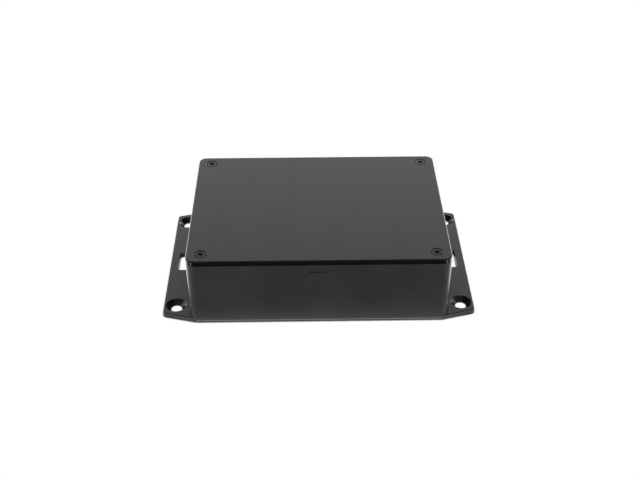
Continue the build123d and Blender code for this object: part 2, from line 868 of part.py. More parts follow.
def gland_cap():
    """The cap nut: a hexagon with a domed end, running on the collar."""
    start = gland_washer_thickness + gland_flange_length + 0.3
    straight = collar_end() + 1.4 - start
    dome_start = 0.58 * gland_cap_length
    outer = hexagon(gland_flats, dome_start)
    outer += cone(gland_flats / 2 - 0.5, gland_bore_radius + 2.0, gland_cap_length - dome_start, z=dome_start)
    inner = rod(gland_collar_radius + running_clearance, straight)
    inner += cone(gland_collar_radius + running_clearance, gland_bore_radius, 2.0, z=straight)
    inner += rod(gland_bore_radius, gland_cap_length)
    return along_y(outer - inner, start)


def gland_locknut():
    """The nut inside the wall."""
    nut = hexagon(gland_flats, gland_nut_length) - rod(gland_thread_radius, gland_nut_length)
    return along_y(nut, -wall - gland_nut_length)


# ---------------------------------------------------------------- all the pieces
def all_pieces():
    """Every piece of the unit, by name."""
    screw_points = corners(lid_screw_x, lid_screw_y)
    corner_names = ("front_left", "front_right", "back_left", "back_right")
    board_points = corners(standoff_x, standoff_y)
    can_points = [on_board(place) for place in capacitor_places]
    diode_y, *transistor_ys = package_ys()
    pieces = {
        "enclosure_body": enclosure_body(),
        "lid": lid(),
        "lid_gasket": groove(gasket_depth, gasket_width),
        "threaded_inserts": separate(threaded_insert(x, y) for x, y in screw_points),
        "circuit_board": circuit_board(),
        "board_screws": separate(board_screw(x, y + board_y) for x, y in board_points),
        "terminal_housing": terminal_housing(),
        "terminal_clamps": separate(terminal_cage_clamp(x) for x in terminal_xs()),
        "fuse_holder": fuse_holder(),
        "fuse_clips": fuse_clips(),
        "fuse_body": fuse_body(),
        "fuse_blades": fuse_blades(),
        "heat_sink": heat_sink(),
        "transistor_bodies": separate(package_body(y) for y in transistor_ys),
        "transistor_tabs": separate(solid for y in transistor_ys for solid in package_tab(y, (-1, 0, 1))),
        "diode_body": package_body(diode_y),
        "diode_tab": separate(package_tab(diode_y, (-1, 1))),
        "insulating_pads": separate(insulating_pad(y) for y in package_ys()),
        "package_screws": separate(package_screw(y) for y in package_ys()),
        "capacitor_cans": separate(capacitor_can(x, y) for x, y in can_points),
        "capacitor_sleeves": separate(capacitor_sleeve(x, y) for x, y in can_points),
        "choke_core": choke_core(),
        "choke_winding": choke_winding(),
        "shunt_resistor": shunt_resistor(),
        "relay_base": relay_base(),
        "relay_cover": relay_cover(),
        "microcontroller": microcontroller(),
        "microcontroller_leads": microcontroller_leads(),
        "radio_board": radio_board(),
        "radio_shield": radio_shield(),
        "crystal": crystal(),
        "voltage_regulator": voltage_regulator(),
        "motion_sensor": motion_sensor(),
        "status_light": status_light(),
        "chip_resistors": chip_rows(resistor_rows, 3.2, 1.6, 0.6),
        "chip_capacitors": chip_rows(chip_capacitor_rows, 2.0, 1.4, 1.2),
        "trimmer_housing": trimmer_housing(),
        "trimmer_rotor": trimmer_rotor(),
        "button_housing": button_housing(),
        "button_plunger": button_plunger(),
        "header_housing": header_housing(),
        "header_pins": header_pins(),
        "gland_body": gland_body(),
        "gland_washer": gland_washer(),
        "gland_locknut": gland_locknut(),
        "gland_seal": gland_seal(),
        "gland_cap": gland_cap(),
    }
    for name, (x, y), turn in zip(corner_names, screw_points, screw_turns):
        pieces[f"lid_screw_{name}"] = lid_screw(x, y, turn)
    for number, x in enumerate(terminal_xs(), start=1):
        pieces[f"terminal_screw_{number}"] = terminal_screw(x)
    return pieces


os.makedirs("parts", exist_ok=True)
for name, piece in all_pieces().items():
    export_step(piece, f"parts/{name}.step")
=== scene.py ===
# %% [markdown]
# # A trailer brake controller in a flanged plastic box
#
# The solid model of the unit is already made. This lesson dresses it: it loads the solids as a fixed
# frame, sets up a camera, a pale floor and soft light, gives every piece a procedural finish, and
# replaces a few plain solids with finer surfaces worked out in numpy. Blender and the frame work in
# metres, so lengths on the unit are written in millimetres and multiplied by `mm`. The floor, the
# lights and the camera's print are in metres.

# %% Load the frame
import json
import math

import bpy
import numpy as np
from mathutils import Euler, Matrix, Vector


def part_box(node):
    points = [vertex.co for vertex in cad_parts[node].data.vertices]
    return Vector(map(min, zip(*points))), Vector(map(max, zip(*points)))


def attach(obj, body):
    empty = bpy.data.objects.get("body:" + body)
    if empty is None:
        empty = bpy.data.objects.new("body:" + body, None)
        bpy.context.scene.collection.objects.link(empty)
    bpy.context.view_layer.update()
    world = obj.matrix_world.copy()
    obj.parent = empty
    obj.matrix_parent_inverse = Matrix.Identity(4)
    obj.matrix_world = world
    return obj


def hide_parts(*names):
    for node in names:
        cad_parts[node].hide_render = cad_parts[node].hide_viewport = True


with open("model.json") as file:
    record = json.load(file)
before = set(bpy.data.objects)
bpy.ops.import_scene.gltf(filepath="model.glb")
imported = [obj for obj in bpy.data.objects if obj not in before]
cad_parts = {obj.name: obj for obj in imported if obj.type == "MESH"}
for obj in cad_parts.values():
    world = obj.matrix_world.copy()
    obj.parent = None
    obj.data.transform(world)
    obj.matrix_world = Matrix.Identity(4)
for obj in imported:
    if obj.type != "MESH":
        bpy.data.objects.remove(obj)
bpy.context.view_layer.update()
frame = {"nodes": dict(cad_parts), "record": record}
node_slots = {part["node"]: part["material_slot"] for part in frame["record"]["subparts"]}
mm = 0.001
tau = 2 * math.pi

# %% [markdown]
# ## The camera
#
# A camera is placed by where it stands and by three turns: how far it looks to the side, how far it
# looks down, and how far it leans. A Blender camera that hasn't been turned looks straight down, so
# looking level is a quarter turn about X, and looking down takes some of that turn back. The lens is
# a fairly long one, so the box's far edge is only a little shorter than its near edge.

# %% Place the camera
camera_place = Vector((-6.16, -444.24, 314.78)) * mm
camera_yaw = math.radians(0.947)
camera_down = math.radians(34.056)
camera_lean = math.radians(0.069)
camera_data = bpy.data.cameras.new("view_camera")
camera_data.lens = 60.9
camera_data.sensor_width = 36.0
camera_data.clip_start = 0.01
camera = bpy.data.objects.new("view_camera", camera_data)
camera.location = camera_place
looking = Euler((math.pi / 2 - camera_down, 0.0, -camera_yaw), "XYZ").to_matrix()
camera.rotation_euler = (looking @ Euler((0.0, 0.0, -camera_lean), "XYZ").to_matrix()).to_euler()
bpy.context.scene.collection.objects.link(camera)
bpy.context.scene.camera = camera
print(f"camera {camera_place.length:.3f} m from the middle of the case's underside")

# %% [markdown]
# ## Small helpers for shader trees
#
# A material is a graph of nodes. Writing the graph in code is easier to read with small helpers: one
# adds a node and sets its inputs by name or number, one makes an empty material and hands back its
# Principled shader, and the others do sums, stretch a range of values and blend two colours.


# %% Helpers for nodes
def fill_socket(tree, socket, value):
    """Links a value that is another node's output, and sets one that isn't."""
    if isinstance(value, bpy.types.NodeSocket):
        tree.links.new(value, socket)
    else:
        socket.default_value = value


def add_node(tree, kind, inputs=None, **settings):
    """Adds a node, sets its properties, and sets or links each named input."""
    node = tree.nodes.new(kind)
    for key, value in settings.items():
        setattr(node, key, value)
    for key, value in (inputs or {}).items():
        fill_socket(tree, node.inputs[key], value)
    return node


def sum_of(tree, operation, *values):
    """The output of one Math node."""
    return add_node(tree, "ShaderNodeMath", dict(enumerate(values)), operation=operation).outputs[0]


def stretch(tree, value, low, high, to_low=0.0, to_high=1.0):
    """Maps low onto to_low and high onto to_high, evenly between them, and holds it at both ends."""
    return add_node(tree, "ShaderNodeMapRange", {"Value": value, "From Min": low, "From Max": high,
                                                 "To Min": to_low, "To Max": to_high}).outputs[0]


def blend_colours(tree, factor, first, second):
    """The output of one Mix node set to colours: first where factor is 0, second where it is 1."""
    mix = add_node(tree, "ShaderNodeMix", data_type="RGBA")
    for socket, value in zip((mix.inputs[0], mix.inputs[6], mix.inputs[7]), (factor, first, second)):
        fill_socket(tree, socket, value)
    return mix.outputs[2]


def new_material(name):
    """An empty material, with its tree, its Principled shader and the piece's own coordinates."""
    material = bpy.data.materials.new(name)
    material.use_nodes = True
    tree = material.node_tree
    tree.nodes.clear()
    shader = add_node(tree, "ShaderNodeBsdfPrincipled")
    output = add_node(tree, "ShaderNodeOutputMaterial")
    tree.links.new(shader.outputs["BSDF"], output.inputs["Surface"])
    where = add_node(tree, "ShaderNodeTexCoord").outputs["Object"]
    return material, tree, shader, where


def facing_up(tree, low, high):
    """0 where the upward part of the surface's direction is low, 1 where it is high, and between."""
    normal = add_node(tree, "ShaderNodeTexCoord").outputs["Normal"]
    height = add_node(tree, "ShaderNodeSeparateXYZ", {0: normal}).outputs["Z"]
    return stretch(tree, height, low, high)


def rgb(red, green=None, blue=None):
    """A colour with full alpha, or a grey if only one number is given."""
    return (red, red if green is None else green, red if blue is None else blue, 1.0)


print("shader helpers are ready")

# %% [markdown]
# ## Floor and light
#
# The unit stands on a pale sweep that the lens sees as clean white. Black plastic has almost no
# colour of its own, so what it looks like is what it reflects. The floor therefore answers two kinds
# of ray differently. The camera sees it white, with a painted contact shadow: a thin dark line where
# the box touches it.
# Reflections see it bright at the sides and behind, which draws the thin light lines down the rounded
# corners, but dim in front, as if a dark card lay there, which keeps the polished rim black. Two small
# white cards on the dark one catch the rim's corners. Reflections also see shade in the box's holes
# and slots, and on the floor close to its sides and back. A low, wide soft box behind gives the lid
# its sheen. The one in front only fills the wall that faces the camera: it's left out of mirror
# images, because its own image would be a bright line on the rim.

# %% Floor
floor_size = 6.0
dark_card = 0.10
side_bright = 2.6
dark_card_edge = -56 * mm
bright_edge = -28 * mm
white_card_sideways = 107 * mm
white_card_forward = 95 * mm
white_card_half_width = 19 * mm
white_card_half_depth = 21 * mm
white_card_blur = 5 * mm
shade_reach = 6.0 * mm
shade_edge = -44 * mm
# The painted contact shadow under the box: how far it reaches and how dark it gets.
painted_shadow_reach = 1.8 * mm
painted_shadow_tone = 0.05


def floor_material():
    """White to the camera but for a painted contact shadow close under the box; to reflections, dim
    only in front.
    """
    material, tree, shader, where = new_material("pale_floor")
    place = add_node(tree, "ShaderNodeSeparateXYZ", {0: where}).outputs
    sideways, depth = sum_of(tree, "ABSOLUTE", place["X"]), place["Y"]
    mirrored = stretch(tree, depth, dark_card_edge, bright_edge, dark_card, side_bright)
    off_in_x = sum_of(tree, "ABSOLUTE", sum_of(tree, "SUBTRACT", sideways, white_card_sideways))
    off_in_y = sum_of(tree, "ABSOLUTE", sum_of(tree, "ADD", depth, white_card_forward))
    across = stretch(tree, off_in_x, white_card_half_width + white_card_blur,
                     white_card_half_width - white_card_blur)
    along = stretch(tree, off_in_y, white_card_half_depth + white_card_blur,
                    white_card_half_depth - white_card_blur)
    white_cards = sum_of(tree, "MULTIPLY", across, along)
    mirrored = sum_of(tree, "MULTIPLY_ADD", white_cards, side_bright, mirrored)
    shelter = add_node(tree, "ShaderNodeAmbientOcclusion", {"Distance": shade_reach}, samples=4)
    in_the_open = stretch(tree, shelter.outputs["AO"], 0.6, 0.95)
    in_front = stretch(tree, depth, shade_edge + 1 * mm, shade_edge - 1 * mm)
    mirrored = sum_of(tree, "MULTIPLY", mirrored, sum_of(tree, "MAXIMUM", in_the_open, in_front))
    # Painted contact shadow: the camera's white floor is darkened where the box is close above it.
    painted_shadow_ao = add_node(tree, "ShaderNodeAmbientOcclusion", {"Distance": painted_shadow_reach}, samples=8)
    white = stretch(tree, painted_shadow_ao.outputs["AO"], 0.48, 0.72, painted_shadow_tone, 1.0)
    seen = add_node(tree, "ShaderNodeLightPath").outputs["Is Camera Ray"]
    strength = add_node(tree, "ShaderNodeMix", {0: seen, 2: mirrored, 3: white}).outputs[0]
    shader.inputs["Base Color"].default_value = rgb(0.0)
    shader.inputs["Specular IOR Level"].default_value = 0.0
    shader.inputs["Emission Color"].default_value = rgb(1.0)
    tree.links.new(strength, shader.inputs["Emission Strength"])
    return material


bpy.ops.mesh.primitive_plane_add(size=floor_size)
floor = bpy.context.object
floor.name = "floor"
floor.data.materials.append(floor_material())
print("floor", floor_size, "m across")


# %% Sky and soft boxes
def soft_box(name, place, width, height, power, mirrored=True):
    """A rectangular area light at place, facing the middle of the case's underside.

    If mirrored is not set, the light still falls on things but doesn't show in their reflections.
    """
    data = bpy.data.lights.new(name, "AREA")
    data.shape = "RECTANGLE"
    data.size = width
    data.size_y = height
    data.energy = power
    light = bpy.data.objects.new(name, data)
    light.location = place
    light.rotation_euler = (-Vector(place)).to_track_quat("-Z", "Y").to_euler()
    light.visible_glossy = mirrored
    bpy.context.scene.collection.objects.link(light)


sky_dim = 0.24
sky_white = 1.0
world = bpy.data.worlds.new("soft_room")
bpy.context.scene.world = world
world.use_nodes = True
sky_tree = world.node_tree
sky_tree.nodes.clear()
sky_seen = add_node(sky_tree, "ShaderNodeLightPath").outputs["Is Camera Ray"]
sky_strength = stretch(sky_tree, sky_seen, 0.0, 1.0, sky_dim, sky_white)
sky = add_node(sky_tree, "ShaderNodeBackground", {"Color": rgb(1.0), "Strength": sky_strength})
sky_output = add_node(sky_tree, "ShaderNodeOutputWorld")
sky_tree.links.new(sky.outputs[0], sky_output.inputs["Surface"])

soft_box("box_back", (0.0, 1.6, 0.42), width=3.8, height=0.8, power=22.5)
soft_box("box_left", (-1.4, 0.5, 0.5), width=1.2, height=1.0, power=4.0)
soft_box("box_right", (1.4, 0.5, 0.5), width=1.2, height=1.0, power=4.0)
soft_box("box_front", (0.0, -1.7, 0.6), width=2.2, height=1.0, power=34.0, mirrored=False)
bpy.context.scene.view_settings.view_transform = "Standard"
print("sky and four soft boxes are up")

# %% [markdown]
# ## Shared effects
#
# Each effect that more than one finish needs is a node group, a small machine with named inputs and
# outputs that is built once and then used with different values. `moulded_grain` is the fine, even
# texture that spark erosion leaves in a mould, and the mould leaves in the plastic. `surface_life`
# gives the faint smears and dust of a thing that has been handled. `brushed` gives the fine lines of
# drawn metal.


# %% Effect groups
def new_group(name, scale, outputs):
    """A node group that takes a place and a scale, and puts out the named values."""
    group = bpy.data.node_groups.new(name, "ShaderNodeTree")
    group.interface.new_socket("Where", in_out="INPUT", socket_type="NodeSocketVector")
    scale_in = group.interface.new_socket("Scale", in_out="INPUT", socket_type="NodeSocketFloat")
    scale_in.default_value = scale
    for label in outputs:
        group.interface.new_socket(label, in_out="OUTPUT", socket_type="NodeSocketFloat")
    enter = add_node(group, "NodeGroupInput")
    leave = add_node(group, "NodeGroupOutput")
    return group, enter.outputs["Where"], enter.outputs["Scale"], leave


def moulded_grain():
    """Two sizes of noise: the fine grain as a height, and a drift in tone, fifty times as wide."""
    group, where, scale, leave = new_group("moulded_grain", 3500.0, ("Height", "Tone"))
    drift_scale = sum_of(group, "MULTIPLY", scale, 1 / 50)
    fine = add_node(group, "ShaderNodeTexNoise", {"Vector": where, "Scale": scale, "Detail": 2.0})
    slow = add_node(group, "ShaderNodeTexNoise", {"Vector": where, "Scale": drift_scale, "Detail": 3.0})
    group.links.new(fine.outputs["Fac"], leave.inputs["Height"])
    group.links.new(slow.outputs["Fac"], leave.inputs["Tone"])
    return group


def surface_life():
    """Smears are stretched noise with its peaks kept. Dust is small specks that come in patches."""
    group, where, scale, leave = new_group("surface_life", 60.0, ("Smears", "Dust"))
    drawn_out = add_node(group, "ShaderNodeMapping", {"Vector": where, "Rotation": (0.0, 0.0, 0.6),
                                                      "Scale": (1.0, 0.25, 1.0)}).outputs[0]
    smear = add_node(group, "ShaderNodeTexNoise", {"Vector": drawn_out, "Scale": scale, "Detail": 4.0})
    speck_scale = sum_of(group, "MULTIPLY", scale, 30.0)
    speck = add_node(group, "ShaderNodeTexVoronoi", {"Vector": where, "Scale": speck_scale})
    patch = add_node(group, "ShaderNodeTexNoise", {"Vector": where, "Scale": scale, "Detail": 2.0})
    specks = stretch(group, speck.outputs["Distance"], 0.16, 0.05)
    patches = stretch(group, patch.outputs["Fac"], 0.5, 0.75)
    group.links.new(stretch(group, smear.outputs["Fac"], 0.45, 0.8), leave.inputs["Smears"])
    group.links.new(sum_of(group, "MULTIPLY", specks, patches), leave.inputs["Dust"])
    return group


def brushed():
    """Noise drawn out into lines along X, where it is read with 0.03 of its scale."""
    group, where, scale, leave = new_group("brushed", 400.0, ("Height",))
    drawn_out = add_node(group, "ShaderNodeMapping", {"Vector": where, "Scale": (0.03, 1.0, 1.0)})
    lines = add_node(group, "ShaderNodeTexNoise",
                     {"Vector": drawn_out.outputs[0], "Scale": scale, "Detail": 3.0})
    group.links.new(lines.outputs["Fac"], leave.inputs["Height"])
    return group


effect_groups = {"grain": moulded_grain(), "life": surface_life(), "brushed": brushed()}


def use_group(tree, name, where, scale):
    """Places an effect group in a material, and hands back its outputs."""
    return add_node(tree, "ShaderNodeGroup", {"Where": where, "Scale": scale},
                    node_tree=effect_groups[name]).outputs


print("effect groups:", ", ".join(group.name for group in effect_groups.values()))

# %% [markdown]
# ## Moulded plastic
#
# The box and the lid are black ABS. Its own colour is very dark, and nearly all the light that leaves
# it is a reflection spread out by the grain. The lid's rim was polished in the mould, so its upright
# faces are smooth and look much blacker than its top, and their colour is painted darker still, as
# painted shade. The finish tells them apart by the direction that the surface faces, read from the
# piece's own normal. Slopes, and hollows low on the box and the lid, are painted darker too, as
# painted shade. One function makes every plastic in the unit, and its rubber, its epoxy and its
# ferrite too, because they differ only in colour, in gloss and in how deep the grain is.


# %% Plastic finishes
grain_height = 0.02 * mm
pin_roughness = 0.11
# Painted shade: slopes and hollows low on the box and the lid are painted this darker colour.
painted_shade_colour = rgb(0.003)
# Painted shade: the lid rim's upright faces are painted this darker colour.
painted_rim_shade_colour = rgb(0.001)
edge_on_roughness = 0.16
painted_shade_reach = 2.5 * mm


def plastic(name, colour, roughness=0.5, grain=3500.0, depth=0.35, wear=0.6, polished_rim_painted_dark=None,
            painted_shade_below=None, clear=0.0):
    """Moulded plastic with a grain, faint smears and dust, and if asked, a polished upright rim.

    If painted_shade_below is given, the surface also turns glossier where it is seen edge on, as any
    fine grain does. It turns glossier where it slopes, and where other faces are close by below that
    height, because smooth pins in the mould make the countersinks and the slots, and there its colour
    is painted darker, as painted shade. A polished rim's upright faces are painted darker too.
    """
    material, tree, shader, where = new_material(name)
    marks = use_group(tree, "life", where, 55.0)
    grains = use_group(tree, "grain", where, grain)
    worn = rgb(*(0.7 * channel + 0.05 for channel in colour[:3]))
    lighter = rgb(*(1.3 * channel + 0.001 for channel in colour[:3]))
    toned = blend_colours(tree, stretch(tree, grains["Tone"], 0.3, 0.7), colour, lighter)
    surface = blend_colours(tree, sum_of(tree, "MULTIPLY", marks["Dust"], wear), toned, worn)
    rough = stretch(tree, grains["Tone"], 0.3, 0.7, roughness - 0.02, roughness + 0.02)
    rough = sum_of(tree, "MULTIPLY_ADD", marks["Smears"], 0.05 * wear, rough)
    strength = depth
    if polished_rim_painted_dark is not None:
        upwards = facing_up(tree, 0.70, 0.95)
        rough = stretch(tree, upwards, 0.0, 1.0, polished_rim_painted_dark, rough)
        # Painted shade: the upright rim is painted darker than the top.
        surface = blend_colours(tree, upwards, painted_rim_shade_colour, surface)
        strength = sum_of(tree, "MULTIPLY", upwards, depth)
    if painted_shade_below is not None:
        facing = add_node(tree, "ShaderNodeLayerWeight", {"Blend": 0.5}).outputs["Facing"]
        edge_on = stretch(tree, facing, 0.52, 0.85)
        rough = add_node(tree, "ShaderNodeMix",
                         {0: edge_on, 2: rough, 3: edge_on_roughness}).outputs[0]
        slope = sum_of(tree, "MULTIPLY", facing_up(tree, 0.25, 0.45), facing_up(tree, 0.95, 0.85))
        open_air = add_node(tree, "ShaderNodeAmbientOcclusion", {"Distance": painted_shade_reach}, samples=6)
        closed_in = stretch(tree, open_air.outputs["AO"], 0.72, 0.48)
        height = add_node(tree, "ShaderNodeSeparateXYZ", {0: where}).outputs["Z"]
        low_down = stretch(tree, height, painted_shade_below + 2 * mm, painted_shade_below - 2 * mm)
        painted_shade_and_gloss = sum_of(tree, "MAXIMUM", slope, sum_of(tree, "MULTIPLY", low_down, closed_in))
        rough = add_node(tree, "ShaderNodeMix",
                         {0: painted_shade_and_gloss, 2: rough, 3: pin_roughness}).outputs[0]
        # Painted shade: slopes, and hollows where other faces are close by, are painted darker.
        surface = blend_colours(tree, painted_shade_and_gloss, surface, painted_shade_colour)
    bump = add_node(tree, "ShaderNodeBump",
                    {"Height": grains["Height"], "Strength": strength, "Distance": grain_height})
    shader.inputs["Transmission Weight"].default_value = clear
    tree.links.new(surface, shader.inputs["Base Color"])
    tree.links.new(rough, shader.inputs["Roughness"])
    tree.links.new(bump.outputs["Normal"], shader.inputs["Normal"])
    return material


finishes = {
    "case_plastic": plastic("case_plastic", rgb(0.022, 0.0209, 0.0206), 0.48,
                            painted_shade_below=20 * mm),
    "lid_plastic": plastic("lid_plastic", rgb(0.012, 0.0118, 0.012), 0.46, polished_rim_painted_dark=0.12,
                           painted_shade_below=40 * mm),
    "gland_plastic": plastic("gland_plastic", rgb(0.012), 0.42, wear=0.3),
    "black_plastic": plastic("black_plastic", rgb(0.012), 0.45),
    "terminal_plastic": plastic("terminal_plastic", rgb(0.012, 0.15, 0.055), 0.38, depth=0.2),
    "relay_plastic": plastic("relay_plastic", rgb(0.012, 0.05, 0.22), 0.30, depth=0.1),
    "trimmer_plastic": plastic("trimmer_plastic", rgb(0.015, 0.06, 0.30), 0.32, depth=0.1),
    "rotor_plastic": plastic("rotor_plastic", rgb(0.62, 0.60, 0.55), 0.42, depth=0.1, wear=0.2),
    "package_epoxy": plastic("package_epoxy", rgb(0.018, 0.018, 0.019), 0.55, grain=6000.0, depth=0.6),
    "seal_rubber": plastic("seal_rubber", rgb(0.010), 0.62, grain=2500.0, depth=0.2),
    "pad_rubber": plastic("pad_rubber", rgb(0.32, 0.34, 0.37), 0.6, grain=2500.0, depth=0.2, wear=0.2),
    "ferrite": plastic("ferrite", rgb(0.05, 0.11, 0.05), 0.35, grain=1500.0, depth=0.3, wear=0.3),
    "fuse_plastic": plastic("fuse_plastic", rgb(0.75, 0.30, 0.02), 0.12, depth=0.05, wear=0.2,
                            clear=0.65),
    "light_plastic": plastic("light_plastic", rgb(0.70, 0.03, 0.02), 0.10, depth=0.02, wear=0.1,
                             clear=0.5),
}
print("moulded finishes:", ", ".join(finishes))

# %% [markdown]
# ## Metals
#
# The unit has many metals, and each is one shader at full metallic with a colour, a roughness that
# drifts, and either drawn lines or a fine grain. Tarnish is slow noise that blends towards a darker
# tone, and the roughness drifts with the same noise. The enamelled copper wire also wears a clear
# coat, which is what makes it look wet.


# %% Metal finishes
coat_roughness = 0.08
least_grain = 0.12


def metal(name, colour, roughness=0.3, lines=0.0, tarnish=0.35, coat=0.0):
    """Bare or plated metal: drawn lines or a fine grain, and tarnish that darkens it in patches."""
    material, tree, shader, where = new_material(name)
    grains = use_group(tree, "grain", where, 2600.0)
    stained = rgb(*(0.55 * channel for channel in colour[:3]))
    patches = stretch(tree, grains["Tone"], 0.45, 0.75, 0.0, tarnish)
    height = use_group(tree, "brushed", where, 2600.0)["Height"] if lines else grains["Height"]
    bump = add_node(tree, "ShaderNodeBump",
                    {"Height": height, "Strength": max(lines, least_grain), "Distance": grain_height})
    rough = stretch(tree, grains["Tone"], 0.3, 0.75, roughness, roughness + 0.15)
    tree.links.new(blend_colours(tree, patches, colour, stained), shader.inputs["Base Color"])
    tree.links.new(rough, shader.inputs["Roughness"])
    tree.links.new(bump.outputs["Normal"], shader.inputs["Normal"])
    shader.inputs["Metallic"].default_value = 1.0
    shader.inputs["Coat Weight"].default_value = coat
    shader.inputs["Coat Roughness"].default_value = coat_roughness
    return material


metals = {
    "black_steel": metal("black_steel", rgb(0.085, 0.078, 0.068), 0.34, tarnish=0.6),
    "plated_steel": metal("plated_steel", rgb(0.60, 0.60, 0.57), 0.28),
    "tinned_metal": metal("tinned_metal", rgb(0.66, 0.66, 0.64), 0.24),
    "brass": metal("brass", rgb(0.72, 0.47, 0.16), 0.26),
    "gold_metal": metal("gold_metal", rgb(0.83, 0.60, 0.20), 0.20, tarnish=0.1),
    "aluminium": metal("aluminium", rgb(0.72, 0.73, 0.74), 0.34, lines=0.5),
    "can_aluminium": metal("can_aluminium", rgb(0.75, 0.75, 0.76), 0.26, tarnish=0.15),
    "shunt_metal": metal("shunt_metal", rgb(0.50, 0.43, 0.36), 0.36, lines=0.4, tarnish=0.6),
    "copper_wire": metal("copper_wire", rgb(0.55, 0.17, 0.06), 0.22, tarnish=0.3, coat=1.0),
}
finishes.update(metals)
print("metals:", ", ".join(metals))

# %% [markdown]
# ## The board, printed ink, ceramic and shrunk film
#
# A board is glass cloth in resin with copper under a green lacquer. From above, the lacquer is lighter
# over copper than over bare laminate, so the finish splits the surface into straight-sided areas, as
# a copper pour does, and a fine weave shows faintly through. Its cut sides show the yellow resin. Ink,
# the lacquer on a track, ceramic and glaze are plain coatings, so one function makes them all. The
# capacitors' film has a stripe that follows the can round, so it reads the UV map.


# %% Board, ink, ceramic and sleeve finishes
pour_height = 0.03 * mm
film_wrinkle = 0.1 * mm
stripe_place = 0.42
stripe_half = 0.070
stripe_blur = 0.005


def laminate():
    """Green lacquer in two tones over a weave, and bare resin on the cut sides."""
    material, tree, shader, where = new_material("board_laminate")
    areas = add_node(tree, "ShaderNodeTexVoronoi", {"Vector": where, "Scale": 85.0},
                     distance="CHEBYCHEV")
    pick = add_node(tree, "ShaderNodeSeparateColor", {0: areas.outputs["Color"]}).outputs["Red"]
    poured = stretch(tree, pick, 0.40, 0.42)
    threads = [add_node(tree, "ShaderNodeTexWave", {"Vector": where, "Scale": 420.0, "Distortion": 0.4},
                        bands_direction=direction).outputs["Fac"] for direction in "XY"]
    weave = sum_of(tree, "MULTIPLY", *threads)
    lacquer = blend_colours(tree, poured, rgb(0.006, 0.055, 0.022), rgb(0.012, 0.105, 0.042))
    faint_weave = stretch(tree, weave, 0.0, 1.0, 0.0, 0.25)
    lacquer = blend_colours(tree, faint_weave, lacquer, rgb(0.03, 0.15, 0.06))
    colour = blend_colours(tree, facing_up(tree, 0.4, 0.6), rgb(0.30, 0.25, 0.11), lacquer)
    height = sum_of(tree, "ADD", weave, poured)
    bump = add_node(tree, "ShaderNodeBump",
                    {"Height": height, "Strength": 0.25, "Distance": pour_height})
    rough = stretch(tree, weave, 0.0, 1.0, 0.24, 0.34)
    tree.links.new(colour, shader.inputs["Base Color"])
    tree.links.new(rough, shader.inputs["Roughness"])
    tree.links.new(bump.outputs["Normal"], shader.inputs["Normal"])
    return material


def painted(name, colour, second, roughness=0.45):
    """Ink, lacquer or ceramic: two close tones in a fine mottle."""
    material, tree, shader, where = new_material(name)
    grains = use_group(tree, "grain", where, 5200.0)
    mottle = stretch(tree, grains["Height"], 0.35, 0.65)
    rough = stretch(tree, grains["Tone"], 0.3, 0.7, roughness - 0.05, roughness + 0.05)
    bump = add_node(tree, "ShaderNodeBump",
                    {"Height": grains["Height"], "Strength": 0.15, "Distance": grain_height})
    tree.links.new(blend_colours(tree, mottle, colour, second), shader.inputs["Base Color"])
    tree.links.new(rough, shader.inputs["Roughness"])
    tree.links.new(bump.outputs["Normal"], shader.inputs["Normal"])
    return material


def sleeve():
    """Dark blue shrunk film with one pale stripe, placed by the way round the can in the UV map."""
    material, tree, shader, where = new_material("sleeve_plastic")
    uv = add_node(tree, "ShaderNodeUVMap").outputs[0]
    way_round = add_node(tree, "ShaderNodeSeparateXYZ", {0: uv}).outputs["X"]
    off_stripe = sum_of(tree, "ABSOLUTE", sum_of(tree, "SUBTRACT", way_round, stripe_place))
    stripe = stretch(tree, off_stripe, stripe_half + stripe_blur, stripe_half)
    grains = use_group(tree, "grain", where, 1800.0)
    drift = stretch(tree, grains["Tone"], 0.3, 0.7)
    blue = blend_colours(tree, drift, rgb(0.010, 0.014, 0.05), rgb(0.016, 0.022, 0.07))
    colour = blend_colours(tree, stripe, blue, rgb(0.42, 0.45, 0.50))
    rough = stretch(tree, grains["Tone"], 0.3, 0.7, 0.18, 0.28)
    bump = add_node(tree, "ShaderNodeBump",
                    {"Height": grains["Tone"], "Strength": 0.2, "Distance": film_wrinkle})
    tree.links.new(colour, shader.inputs["Base Color"])
    tree.links.new(rough, shader.inputs["Roughness"])
    tree.links.new(bump.outputs["Normal"], shader.inputs["Normal"])
    return material


finishes.update({
    "board_laminate": laminate(),
    "track_lacquer": painted("track_lacquer", rgb(0.020, 0.190, 0.075), rgb(0.026, 0.215, 0.086),
                             0.28),
    "white_ink": painted("white_ink", rgb(0.62, 0.63, 0.60), rgb(0.50, 0.52, 0.49), 0.55),
    "chip_ceramic": painted("chip_ceramic", rgb(0.34, 0.23, 0.13), rgb(0.29, 0.19, 0.10), 0.35),
    "resistor_glaze": painted("resistor_glaze", rgb(0.012, 0.013, 0.016),
                              rgb(0.020, 0.021, 0.025), 0.30),
    "sleeve_plastic": sleeve(),
})
print("finishes in all:", len(finishes))

# %% [markdown]
# ## Dressing the solids
#
# Every solid of the frame gets the finish that its slot names. Resistor chips share a slot with the
# capacitor chips, but are glazed black, so they are dressed by name.

# %% Dress the solids
special_finishes = {"chip_resistors": "resistor_glaze"}
for node_name, slot_name in node_slots.items():
    data = frame["nodes"][node_name].data
    data.materials.clear()
    data.materials.append(finishes[special_finishes.get(node_name, slot_name)])
print(f"{len(node_slots)} solids dressed")

# %% [markdown]
# ## One way to make every new surface
#
# Screws, wire, cans, pads and copper tracks are all the same kind of surface: rings of points, one
# after another, with a skin over them. A turned part's rings are circles of changing radius, a wire's
# rings are small circles across its path, and a flat pad's rings are two rectangles. So one function
# makes the skin, and each shape only has to say where its rings are, as one numpy array.


